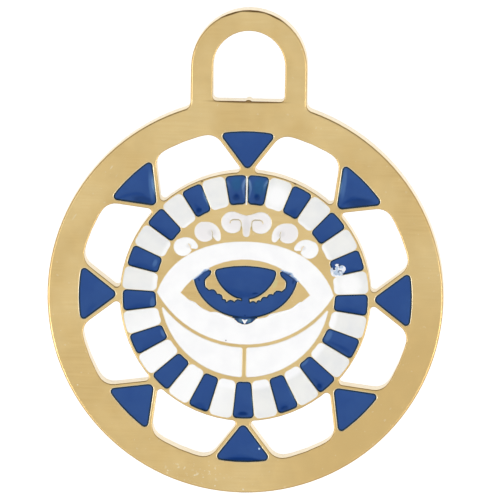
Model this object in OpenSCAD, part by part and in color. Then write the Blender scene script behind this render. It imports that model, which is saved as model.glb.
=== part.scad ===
// Evil eye pendant: a flat round metal plate in one piece with its bail, pierced by
// windows between enamelled rays, with a ring of enamel blocks round an enamelled eye.
// It lies on its back, face up (+Z), bail towards +Y. The origin is the middle of the
// disc on its back face, and all lengths are in millimetres.

/* [Disc] */
// Diameter of the round plate
disc_d = 30; // [29:0.5:34]
// Thickness of the metal
plate_t = 2.2; // [1.8:0.1:3]
// Width of the plain rim outside the windows
rim_w = 2.33; // [2.1:0.01:2.6]

/* [Bail] */
// Width of the bail across its two legs
bail_w = 8.8; // [8.2:0.1:9.6]
// Height of the bail above the top of the disc
bail_rise = 6.85; // [6.4:0.05:7.6]
// Thickness of the bail over its eye
bail_crown_w = 1.6; // [1.4:0.05:1.9]
// Width of the bail's eye
bail_eye_w = 5.46; // [5:0.02:5.8]
// Height of the bail's eye
bail_eye_h = 5.35; // [5:0.05:5.6]
// Radius of the two lower corners of the bail's eye
bail_eye_corner_r = 0.35; // [0.2:0.05:0.6]
// Radius of the fillet where the bail grows out of the disc
bail_fillet_r = 0.55; // [0.3:0.05:0.9]
// Width of the small burr in the middle of the eye's lower edge
burr_w = 0.5; // [0.3:0.05:0.8]
// Height of that burr
burr_h = 0.12; // [0.05:0.01:0.2]

/* [Rays and windows] */
// Number of rays, and of windows between them
ray_count = 8; // [7:1:9]
// Distance from the edge of the disc to the base of a ray
ray_edge_w = 2.4; // [2.2:0.05:2.8]
// Width of a ray's base between its sharp corners
ray_w = 4.3; // [3.9:0.05:4.5]
// Distance from the ring to the sharp point of a ray
ray_tip_gap = 0.12; // [0.1:0.02:0.3]
// Radius of the corners at a ray's base
ray_corner_r = 0.27; // [0.15:0.01:0.4]
// Radius of a ray's point
ray_tip_r = 0.35; // [0.2:0.01:0.5]
// Width of the metal bar between a ray and a window
ray_bar_w = 0.3; // [0.24:0.01:0.4]
// Radius of a window's two corners at the rim
window_rim_corner_r = 1.2; // [0.8:0.05:1.3]
// Radius of a window's two corners at the ring
window_ring_corner_r = 0.3; // [0.15:0.05:0.35]

/* [Ring of blocks] */
// Number of blocks; one more than a multiple of four puts two blue ones at the top
block_count = 33; // [29:4:37]
// Diameter of the round field inside the ring
field_d = 13.6; // [13.3:0.1:13.9]
// Width of the metal edge outside the blocks
ring_edge_w = 0.22; // [0.18:0.01:0.3]
// Length of a block at the side of the ring
block_len = 2.48; // [2.2:0.02:2.7]
// How far the ring's inner circle sits above the middle of the disc
ring_shift = 0.28; // [0:0.02:0.4]
// Width of the metal wall between two blocks
block_gap = 0.13; // [0.1:0.01:0.2]
// Radius of a block's corners
block_corner_r = 0.28; // [0.15:0.01:0.35]

/* [Eye] */
// Metal between the ring and a corner of the eye
eye_side_wall = 0.12; // [0.1:0.01:0.3]
// Height of the eye's corners above the middle of the disc
eye_corner_y = 0.22; // [0:0.02:0.4]
// Height of the crest between the top of the eye and the ring
crest_h = 2.88; // [2.6:0.02:3.1]
// Width of the white beside the iris ground, at the corners
white_side_w = 1.75; // [1.6:0.05:2]
// Width of the white over the iris ground
white_top_w = 1.33; // [1.2:0.01:1.5]
// Width of the white below the iris ground
white_bottom_w = 1.89; // [1.7:0.01:2]
// Width of the metal edge along the iris's upper arms
arm_edge_w = 0.1; // [0.08:0.01:0.2]
// Width of the blue drop below the iris
tear_w = 1.75; // [1.5:0.05:2]
// Height of the blue drop below the iris
tear_h = 0.4; // [0.3:0.02:0.54]

/* [Lower lid] */
// Width of the metal line under the eye
lid_line_w = 0.27; // [0.2:0.01:0.35]
// Height of the lower lid's fields at their upright bar
lid_h = 2.25; // [2:0.05:2.4]
// Width of the metal between the lower lid and the ring
field_edge_w = 0.38; // [0.3:0.01:0.5]
// Width of the upright bar between the lower lid's fields
lid_bar_w = 0.34; // [0.26:0.02:0.5]
// Radius of the fields' corners at the bar
lid_corner_r = 0.12; // [0.08:0.01:0.2]
// Radius of the fields' outer tips
lid_tip_r = 0.06; // [0.05:0.01:0.08]

/* [Enamel] */
// Depth of the cells that hold the enamel
cell_depth = 0.7; // [0.5:0.05:1]
// How far the blue enamel stays below the metal's face
blue_drop = 0.1; // [0.05:0.01:0.2]
// How far the white enamel stays below the metal's face
white_drop = 0.05; // [0.03:0.01:0.15]
// Clearance round and under each enamel field
fit_gap = 0.02; // [0.01:0.01:0.03]
// Width of the metal curls in the scrolls
curl_w = 0.09; // [0.07:0.01:0.12]

/* [Hidden] */
// A cut starts and ends this far outside the metal
cut_over = 0.5;
// Largest distance between a round and the chords that draw it
arc_error = 0.01;

disc_r = disc_d / 2;
window_r = disc_r - rim_w;

// Ring of blocks, and the round field inside it
field_r = field_d / 2;
field_top_y = ring_shift + field_r;
field_bottom_y = ring_shift - field_r;
block_r = field_r + block_len;
block_pitch = 360 / block_count;
ring_r = block_r + ring_edge_w;

// Rays
ray_base_r = disc_r - ray_edge_w;
ray_point_r = ring_r + ray_tip_gap;
ray_half_deg = atan(ray_w / 2 / (sqrt(pow(ray_base_r, 2) - pow(ray_w / 2, 2)) - ray_point_r));
ray_pitch = 360 / ray_count;

// Bail
bail_top_y = disc_r + bail_rise;
bail_eye_top_y = bail_top_y - bail_crown_w;
bail_eye_foot_y = bail_eye_top_y - bail_eye_h;
// How far the bail's foot starts inside the disc's edge
bail_sink = 0.02;

// Eye
eye_half_w = sqrt(pow(field_r, 2) - pow(eye_corner_y - ring_shift, 2)) - eye_side_wall;
eye_top_y = field_top_y - crest_h;
eye_bottom_y = field_bottom_y + field_edge_w + lid_h + lid_line_w;
// Pull of the upper lid's curve at its corner, as shares of its half width and rise
lid_corner_pull = [0.875, 0.62];
// Pull of that curve at its crown, as a share of its half width
lid_crown_pull = 0.52;

// Ground of the iris
ground_half_w = eye_half_w - white_side_w;
ground_top_y = eye_top_y - white_top_w;
ground_bottom_y = eye_bottom_y + white_bottom_w;
ground_h = ground_top_y - ground_bottom_y;

// The iris's tables give places on its ground as shares [across, up]: across from the
// middle to the ground's corner, up from its lowest point to its highest.
// Ellipse of the crescent's outer edge: height of its middle, half width, half height
crescent = [0.785, 0.811, 0.765];
// Height over that middle at which the ellipse ends at either arm, in degrees
crescent_end = -11;
// Places across at which an arm's upper edge follows the ground's edge
arm_edge = [0.781, 0.720, 0.652, 0.592];
// Rest of an arm: its tip and its inner side, with corner radii as shares of the half width
arm = [
    // across, up, radius
    [0.517, 0.807, 0.024],
    [0.540, 0.728, 0.030],
    [0.623, 0.641, 0.060],
    [0.613, 0.533, 0.040]
];
// Cusps of metal between the crescent's scallops, from the arm to the bridge
cusps_right = [[0.557, 0.480], [0.426, 0.424], [0.331, 0.380], [0.235, 0.320], [0.168, 0.285],
    [0.075, 0.285]];
cusps_left = [[0.557, 0.480], [0.430, 0.420], [0.341, 0.333], [0.286, 0.285], [0.166, 0.293],
    [0.062, 0.318]];
// Rise of a scallop over the line between its cusps, as a share of their distance
scallop_share = 0.27;
// Pupil: its crown, its upper corner, and the curve from its side to the bridge
pupil_crown_share = 0.891;
pupil_corner = [0.469, 0.822, 0.057];
pupil_side = [[0.473, 0.757], [0.446, 0.583], [0.254, 0.361], [0.067, 0.335]];
// Side of the drop under the iris, as shares of its width and height
tear_side = [[0.30, 0.64], [0.12, 0.95]];

// The crest's tables give places and radii as shares of the crest's height: across from
// the middle, and down from the ring.
// Middle scroll: its lobe with start and end angle, stem, notch on top, and curl
lobe = [0.375, 0.493, 0.285];
lobe_ends = [225, 480];
stem_end = [0, 0.785, 0.083];
stem_mouth = [0.097, 0.632];
lobe_mouth = [0.163, 0.632];
crest_notch = [[0.105, 0.287], [0, 0.313]];
middle_curl = [[0.135, 0.576], [0.137, 0.507], [0.156, 0.451], [0.208, 0.420], [0.354, 0.420],
    [0.413, 0.448], [0.434, 0.507]];
// Side scrolls, inner and outer: angle from the ring's top, head radius and gap to the ring
// as shares of the crest's height there, turn, and how far the leg's end sits below the
// middle of the head, in head radii
side_scrolls = [[34.2, 0.315, 0.18, 0, 0.66], [54.3, 0.401, 0.132, 20, 0.42]];
// The rest of a side scroll as shares of its head's radius, from the middle of its head.
// Head: angles at which it starts and ends
head_ends = [110, 318];
// Leg: its outer edge as middle, radius, start and end angle, and its round end as place
// across, radius, start and end angle
leg_edge = [0.20, -0.42, 1.38, 8, 95];
leg_end = [1.33, 0.25, -140, 0];
// Middle line of the curl between head and leg
side_curl = [[0.76, -0.44], [0.80, -0.15], [0.70, 0.12]];

function ray_name(i) = str("ray_", i);
function block_name(i) = str("ring_block_", i < 10 ? "0" : "", i);

// Point at a radius and an angle
function polar(r, a) = [r * cos(a), r * sin(a)];
function unit(v) = v / norm(v);
function turned(v, a) = [v[0] * cos(a) - v[1] * sin(a), v[0] * sin(a) + v[1] * cos(a)];
function flat(p) = [p[0], p[1]];
function round_by(p, r) = [p[0], p[1], r];
function last(v) = v[len(v) - 1];
function backwards(v) = [for (i = [len(v) - 1:-1:0]) v[i]];
// Without the first and the last entry
function middle_of(v) = [for (i = [1:len(v) - 2]) v[i]];
// Mirror image at the Y axis, still running anticlockwise
function flipped(points) = [for (p = backwards(points)) [-p[0], p[1]]];
// A right half that ends on the Y axis, with its mirror image added
function both_halves(right) =
    concat(right, [for (i = [len(right) - 2:-1:0]) [-right[i][0], right[i][1]]]);

// Number of chords that draw a round of radius r and the given sweep
function chords(r, sweep) = max(2, ceil(abs(sweep) / 2 / acos(1 - arc_error / r)));

// Points along an arc about c, from angle a0 to a1
function arc(c, r, a0, a1) =
    let (n = chords(r, a1 - a0))
    [for (i = [0:n]) c + polar(r, a0 + (a1 - a0) * i / n)];

// Points along a cubic curve with four control points
function curve(p, n) = [for (i = [0:n])
    let (t = i / n, s = 1 - t)
    s * s * s * p[0] + 3 * s * s * t * p[1] + 3 * s * t * t * p[2] + t * t * t * p[3]];

// Corner p between its neighbours a and b, rounded with radius r
function corner(p, a, b, r) =
    let (u = unit(a - p), w = unit(b - p), half = acos(u * w) / 2)
    let (c = p + unit(u + w) * r / sin(half), s = p + u * r / tan(half) - c)
    let (e = p + w * r / tan(half) - c, sweep = atan2(s[0] * e[1] - s[1] * e[0], s * e))
    let (n = chords(r, sweep))
    [for (i = [0:n]) c + turned(s, sweep * i / n)];

// Outline through corners [x, y, radius], each rounded by its own radius
function rounded(v) = [for (i = [0:len(v) - 1])
    let (a = v[(i + len(v) - 1) % len(v)], b = v[(i + 1) % len(v)])
    each v[i][2] > 0 ? corner(flat(v[i]), flat(a), flat(b), v[i][2]) : [flat(v[i])]];

// Anticlockwise outline drawn in by d, or drawn out where d is negative
function inset(points, d) = [for (i = [0:len(points) - 1])
    let (p = points[i], a = points[(i + len(points) - 1) % len(points)])
    let (b = points[(i + 1) % len(points)], m = turned(unit(p - a), 90), n = turned(unit(b - p), 90))
    p + (m + n) * d / (1 + m * n)];

// Open line moved to its left by d, or to its right where d is negative
function beside(line, d) = [for (i = [0:len(line) - 1])
    let (j = max(i, 1), k = min(i + 1, len(line) - 1))
    let (m = turned(unit(line[j] - line[j - 1]), 90), n = turned(unit(line[k] - line[k - 1]), 90))
    line[i] + (m + n) * d / (1 + m * n)];

// Path into an outline along the left of a curl's middle line, round its end, and out again
function curl_path(line, w) =
    let (end = last(line), way = unit(end - line[len(line) - 2]))
    concat(beside(line, w / 2), [end + way * w / 2], backwards(beside(line, -w / 2)));

// Radius of the arc over a chord of half length half_w with the given rise
function bow_r(half_w, rise) = (pow(half_w, 2) + pow(rise, 2)) / 2 / rise;

// Arc from [-half_w, y] to [half_w, y] that dips to y_mid between them
function dip(half_w, y, y_mid) =
    let (r = bow_r(half_w, y - y_mid), a = asin(half_w / r))
    arc([0, y_mid + r], r, -90 - a, -90 + a);

// The bail with the fillets at its foot, closed inside the disc
function bail_outline() =
    let (half = bail_w / 2, foot_x = half + bail_fillet_r)
    let (foot_y = sqrt(pow(disc_r + bail_fillet_r, 2) - pow(foot_x, 2)))
    let (touch = atan2(foot_y, foot_x))
    both_halves(concat(
        [polar(disc_r - rim_w / 2, touch), polar(disc_r - bail_sink, touch)],
        arc([foot_x, foot_y], bail_fillet_r, touch + 172, 180),
        arc([0, bail_top_y - half], half, 0, 90)
    ));

// The bail's eye: a round crown, straight sides, and a flat foot with a small burr
function bail_eye_outline() =
    let (half = bail_eye_w / 2, foot = bail_eye_foot_y, r = bail_eye_corner_r)
    let (outline = both_halves(concat(
        [[burr_w / 2, foot]],
        arc([half - r, foot + r], r, -90, 0),
        arc([0, bail_eye_top_y - half], half, 0, 90)
    )))
    concat(outline, [for (s = [-1:1]) [s * burr_w / 4, foot + burr_h * (1 - abs(s) / 5)]]);

// Angle off a ray's middle at which a line beside it crosses the circle of radius r. The
// line runs along the ray's side, with a bar of the given width between them.
function ray_side_deg(r, bar) =
    ray_half_deg - asin((ray_point_r * sin(ray_half_deg) - bar) / r);

// One ray, with its middle at angle a
function ray_outline(a) =
    let (half = ray_side_deg(ray_base_r, 0), base = arc([0, 0], ray_base_r, a - half, a + half))
    rounded(concat(
        [round_by(polar(ray_point_r, a), ray_tip_r)],
        [round_by(base[0], ray_corner_r)],
        [for (p = middle_of(base)) round_by(p, 0)],
        [round_by(last(base), ray_corner_r)]
    ));

// One window, with its middle at angle a; its sides follow the rays beside it, and the
// chords of its rim are long enough for the corners' radius
function window_outline(a) =
    let (at_rim = ray_pitch / 2 - ray_side_deg(window_r, ray_bar_w))
    let (at_ring = ray_pitch / 2 - ray_side_deg(ring_r, ray_bar_w))
    let (n = floor(at_rim * PI / 90 * window_r / window_rim_corner_r), step = 2 * at_rim / n)
    let (rim = [for (i = [0:n]) polar(window_r, a - at_rim + i * step)])
    let (ring = arc([0, 0], ring_r, a + at_ring, a - at_ring))
    rounded(concat(
        [round_by(rim[0], window_rim_corner_r)],
        [for (p = middle_of(rim)) round_by(p, 0)],
        [round_by(last(rim), window_rim_corner_r)],
        [round_by(ring[0], window_ring_corner_r)],
        [for (p = middle_of(ring)) round_by(p, 0)],
        [round_by(last(ring), window_ring_corner_r)]
    ));

// Distance from the middle of the disc to the edge of the round field at angle a
function field_reach(a) =
    ring_shift * sin(a) + sqrt(pow(field_r, 2) - pow(ring_shift * cos(a), 2));

// One block of the ring, with its middle at angle a
function block_outline(a) =
    let (far = block_pitch / 2 - asin(block_gap / 2 / block_r))
    let (near = block_pitch / 2 - asin(block_gap / 2 / field_r))
    rounded([
        round_by(polar(block_r, a - far), block_corner_r),
        round_by(polar(block_r, a), 0),
        round_by(polar(block_r, a + far), block_corner_r),
        round_by(polar(field_reach(a + near), a + near), block_corner_r),
        round_by(polar(field_reach(a), a), 0),
        round_by(polar(field_reach(a - near), a - near), block_corner_r)
    ]);

// Blocks run anticlockwise from the bottom; they alternate up both sides from a blue one
function block_angle(i) = -90 + (i - 1) * block_pitch;
function is_blue(i) = min(i - 1, block_count + 1 - i) % 2 == 0;

// Right half of the upper lid, from the eye's corner to its crown
function upper_lid() =
    let (rise = eye_top_y - eye_corner_y)
    curve([
        [eye_half_w, eye_corner_y],
        [eye_half_w * lid_corner_pull[0], eye_corner_y + rise * lid_corner_pull[1]],
        [eye_half_w * lid_crown_pull, eye_top_y],
        [0, eye_top_y]
    ], 12);

// The almond of the eye: the lower lid's arc, then the upper lid from right to left
function almond_outline() =
    concat(dip(eye_half_w, eye_corner_y, eye_bottom_y), middle_of(both_halves(upper_lid())));

// The metal ground of the iris, a lens within the almond
function ground_outline() =
    let (over = dip(ground_half_w, -eye_corner_y, -ground_top_y))
    concat(dip(ground_half_w, eye_corner_y, ground_bottom_y), [for (p = middle_of(over)) -p]);

// Place on the ground from its shares across and up
function on_ground(p) = [p[0] * ground_half_w, ground_bottom_y + p[1] * ground_h];
function on_ground_round(p) = round_by(on_ground(p), p[2] * ground_half_w);

// Line through the cusps, with a scallop between each two
function scallops(cusps) = concat([for (i = [0:len(cusps) - 2])
    let (p = cusps[i], way = cusps[i + 1] - p, up = turned(way, -90) * scallop_share)
    each [p, p + way * 0.2 + up * 0.64, p + way * 0.5 + up, p + way * 0.8 + up * 0.64]],
    [last(cusps)]);

// Right arm of the crescent, from its outer corner over its tip to its first cusp
function arm_corners(cusp) =
    let (over_r = bow_r(ground_half_w, ground_top_y - eye_corner_y), r = over_r - arm_edge_w)
    concat(
        [for (x = arm_edge * ground_half_w)
            [x, ground_top_y - over_r + sqrt(pow(r, 2) - pow(x, 2)),
                x == last(arm_edge) * ground_half_w ? arm[0][2] * ground_half_w : 0]],
        [for (p = arm) on_ground_round(p)],
        [round_by(on_ground(cusp), 0)]
    );

// Right side of the pupil with half its crown, from the bridge to the top
function pupil_half() =
    let (side = curve([for (p = pupil_side) on_ground(p)], 9))
    let (crown = on_ground([0, pupil_crown_share]), fall = on_ground(pupil_corner) - crown)
    rounded(concat(
        [for (p = backwards(side)) round_by(p, 0)],
        [on_ground_round(pupil_corner)],
        [for (s = [0.7, 0.4, 0]) [crown[0] + fall[0] * s, crown[1] + fall[1] * s * s, 0]]
    ));

// Half of the iris without its lower edge: from the arm's outer corner to the middle of
// the pupil's crown
function iris_half(cusps) =
    let (arm_line = rounded(arm_corners(cusps[0])))
    concat([for (i = [0:len(arm_line) - 2]) arm_line[i]],
        scallops([for (p = cusps) on_ground(p)]), pupil_half());

// Crescent and pupil of the iris, which run together below the pupil
function iris_outline() =
    let (left = iris_half(cusps_left), mid = on_ground([0, crescent[0]]), n = 28)
    let (rx = crescent[1] * ground_half_w, ry = crescent[2] * ground_h)
    let (a0 = 180 - crescent_end, sweep = 180 + 2 * crescent_end)
    concat(
        [for (i = [0:n]) let (a = a0 + sweep * i / n) mid + [rx * cos(a), ry * sin(a)]],
        iris_half(cusps_right),
        [for (i = [len(left) - 2:-1:0]) [-left[i][0], left[i][1]]]
    );

// The drop below the iris; its top follows the ground's lower edge
function tear_outline() =
    let (r = bow_r(ground_half_w, eye_corner_y - ground_bottom_y), a = asin(tear_w / 2 / r))
    let (side = [for (p = tear_side) [p[0] * tear_w, ground_bottom_y - p[1] * tear_h]])
    concat(
        arc([0, ground_bottom_y + r], r, -90 + a, -90 - a),
        [for (p = side) [-p[0], p[1]]],
        [[0, ground_bottom_y - tear_h]],
        backwards(side)
    );

// Right field of the lower lid, between the line under the eye and the ring's inner edge
function lid_outline() =
    let (eye_r = bow_r(eye_half_w, eye_corner_y - eye_bottom_y), r2 = eye_r + lid_line_w)
    let (r1 = field_r - field_edge_w, y1 = ring_shift, y2 = eye_bottom_y + eye_r)
    let (y = (y1 + y2) / 2 - (pow(r1, 2) - pow(r2, 2)) / 2 / (y1 - y2))
    let (x = sqrt(pow(r1, 2) - pow(y - y1, 2)), bar = lid_bar_w / 2)
    let (low = arc([0, y1], r1, -90 + asin(bar / r1), atan2(y - y1, x)))
    let (high = arc([0, y2], r2, atan2(y - y2, x), -90 + asin(bar / r2)))
    rounded(concat(
        [round_by(low[0], lid_corner_r)],
        [for (p = middle_of(low)) round_by(p, 0)],
        [round_by(last(low), lid_tip_r)],
        [for (p = middle_of(high)) round_by(p, 0)],
        [round_by(last(high), lid_corner_r)]
    ));

// Place on the crest from its shares across and down
function on_crest(p) = [p[0] * crest_h, field_top_y - p[1] * crest_h];

// The middle scroll: a stem between two lobes, each lobe with a curl
function crest_middle_outline() =
    both_halves(concat(
        arc(on_crest(stem_end), stem_end[2] * crest_h, -75, 0),
        [on_crest(stem_mouth)],
        curl_path([for (p = middle_curl) on_crest(p)], curl_w),
        [on_crest(lobe_mouth)],
        arc(on_crest(lobe), lobe[2] * crest_h, lobe_ends[0], lobe_ends[1]),
        [for (p = crest_notch) on_crest(p)]
    ));

// Height of the crest between the upper lid and the ring, at angle a off the field's top
function crest_room(a) =
    let (lid = [for (p = upper_lid()) p - [0, ring_shift]])
    field_r - lookup(a, [for (p = lid) [atan2(p[0], p[1]), norm(p)]]);

// Left side scroll: a round head, and a leg that runs over it towards the middle
function crest_side_outline(scroll) =
    let (room = crest_room(scroll[0]), r = scroll[1] * room, reach = field_r - scroll[2] * room - r)
    let (head = [0, ring_shift] + polar(reach, 90 + scroll[0]))
    let (local = concat(
        arc([0, 0], r, head_ends[0], head_ends[1]),
        curl_path(side_curl * r, curl_w),
        arc([leg_end[0], -scroll[4]] * r, leg_end[1] * r, leg_end[2], leg_end[3]),
        arc(flat(leg_edge) * r, leg_edge[2] * r, leg_edge[3], leg_edge[4])
    ))
    [for (p = local) head + turned(p, scroll[3])];

// A prism over an outline, between two heights
module prism(points, z0, z1) {
    translate([0, 0, z0])
        linear_extrude(z1 - z0)
            polygon(points);
}

// The sunk cell for one field of enamel
module cell(points) {
    prism(points, plate_t - cell_depth, plate_t + cut_over);
}

// A cut through the whole plate
module through_cut(points) {
    prism(points, -cut_over, plate_t + cut_over);
}

// One field of enamel, clear of its cell's walls and floor
module enamel(points, drop) {
    prism(inset(points, fit_gap), plate_t - cell_depth + fit_gap, plate_t - drop);
}

module blue() {
    color([0.16, 0.31, 0.56])
        children();
}

module white() {
    color([0.95, 0.95, 0.97])
        children();
}

module plate() {
    color([0.84, 0.73, 0.48])
        difference() {
            union() {
                cylinder(h = plate_t, r = disc_r, $fn = 120);
                prism(bail_outline(), 0, plate_t);
            }
            through_cut(bail_eye_outline());
            for (i = [1:ray_count]) {
                through_cut(window_outline(90 + (i - 0.5) * ray_pitch));
                cell(ray_outline(90 + (i - 1) * ray_pitch));
            }
            for (i = [1:block_count])
                cell(block_outline(block_angle(i)));
            cell(crest_middle_outline());
            for (scroll = side_scrolls) {
                cell(crest_side_outline(scroll));
                cell(flipped(crest_side_outline(scroll)));
            }
            difference() {
                cell(almond_outline());
                through_cut(ground_outline());
            }
            cell(iris_outline());
            cell(lid_outline());
            cell(flipped(lid_outline()));
        }
}

module ray(i) {
    blue() enamel(ray_outline(90 + (i - 1) * ray_pitch), blue_drop);
}

module ring_block(i) {
    if (is_blue(i))
        blue() enamel(block_outline(block_angle(i)), blue_drop);
    else
        white() enamel(block_outline(block_angle(i)), white_drop);
}

module crest_middle() {
    white() enamel(crest_middle_outline(), white_drop);
}

module crest_left(scroll) {
    white() enamel(crest_side_outline(scroll), white_drop);
}

module crest_right(scroll) {
    white() enamel(flipped(crest_side_outline(scroll)), white_drop);
}

module eye_white() {
    white()
        difference() {
            enamel(almond_outline(), white_drop);
            through_cut(inset(ground_outline(), -fit_gap));
            through_cut(inset(tear_outline(), -fit_gap));
        }
}

module iris() {
    blue() enamel(iris_outline(), blue_drop);
}

module tear() {
    blue() enamel(tear_outline(), blue_drop);
}

module lid_left() {
    white() enamel(flipped(lid_outline()), white_drop);
}

module lid_right() {
    white() enamel(lid_outline(), white_drop);
}

plate();
for (i = [1:ray_count])
    ray(i);
for (i = [1:block_count])
    ring_block(i);
crest_middle();
crest_left(side_scrolls[0]);  // crest_left_inner
crest_right(side_scrolls[0]);  // crest_right_inner
crest_left(side_scrolls[1]);  // crest_left_outer
crest_right(side_scrolls[1]);  // crest_right_outer
eye_white();
iris();
tear();
lid_left();
lid_right();
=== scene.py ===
"""Looks of a round evil eye pendant: its brass plate with rounded edges, the enamel in the
plate's cells, the enamel that ran over, and the studio in which it lies on its back."""

import logging
import math
from dataclasses import dataclass, field
from enum import Enum
from typing import Iterable, Sequence

import bmesh
import bpy
import numpy as np
from mathutils import Matrix, Vector
from mathutils.geometry import delaunay_2d_cdt


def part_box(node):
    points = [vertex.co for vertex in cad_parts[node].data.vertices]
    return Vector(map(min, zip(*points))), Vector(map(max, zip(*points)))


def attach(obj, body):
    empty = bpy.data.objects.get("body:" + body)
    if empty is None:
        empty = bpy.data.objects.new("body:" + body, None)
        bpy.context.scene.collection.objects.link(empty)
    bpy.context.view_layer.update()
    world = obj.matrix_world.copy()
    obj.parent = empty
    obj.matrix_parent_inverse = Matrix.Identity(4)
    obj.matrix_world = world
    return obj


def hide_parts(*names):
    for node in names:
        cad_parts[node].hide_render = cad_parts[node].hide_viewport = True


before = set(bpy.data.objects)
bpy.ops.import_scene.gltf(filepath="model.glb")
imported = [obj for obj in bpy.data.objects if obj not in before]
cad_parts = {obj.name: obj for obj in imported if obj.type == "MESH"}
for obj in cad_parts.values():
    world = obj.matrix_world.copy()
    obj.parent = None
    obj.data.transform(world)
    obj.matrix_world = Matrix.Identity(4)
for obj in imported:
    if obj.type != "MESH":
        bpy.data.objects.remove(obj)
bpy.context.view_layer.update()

LOG = logging.getLogger("pendant")

# Metres in a millimetre; outlines and sizes below are in millimetres
MM = 0.001
# Corners of the frame's mesh that lie this close are one corner
WELD = 1e-4
# Points that this script makes twice lie this close
SEAM = 2e-5
# A corner this close to an outline lies on it
ON_EDGE = 1e-4
# A triangle of less height than this is a mere line
THIN = 1e-4
# Rounds in which such triangles are turned, at most
ROUNDS = 40
# Least length or area that anything is divided by
LEAST = 1e-12
# Points that are measured at a time
BATCH = 512
# A sharp corner of a moved outline reaches no further than this share allows
LEAST_LEAN = 0.35
# A spot fades between these shares of its half width
SPOT_FADE = (1.0, 0.35)
# Height of the metal's face, which the frame has at 2.2
FACE = 2.17
# Outlines whose middle is further out belong to the rays and the ring
RING_INSIDE = 7.2

Colour = tuple[float, float, float]
Marks = tuple[tuple[float, ...], ...]
Range = tuple[float, float]
Points = Sequence[Sequence[float]]
Socket = bpy.types.NodeSocket
Material = bpy.types.Material
Thing = bpy.types.Object
Array = np.ndarray
Loops = Sequence[Array]


def srgb(*parts: int) -> Colour:
    """Turns a colour's parts, which run to 255 as the eye sees them, into the shader's linear ones."""
    seen = np.array(parts) / 255
    return tuple(np.where(seen <= 0.04045, seen / 12.92, ((seen + 0.055) / 1.055) ** 2.4).tolist())


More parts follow.
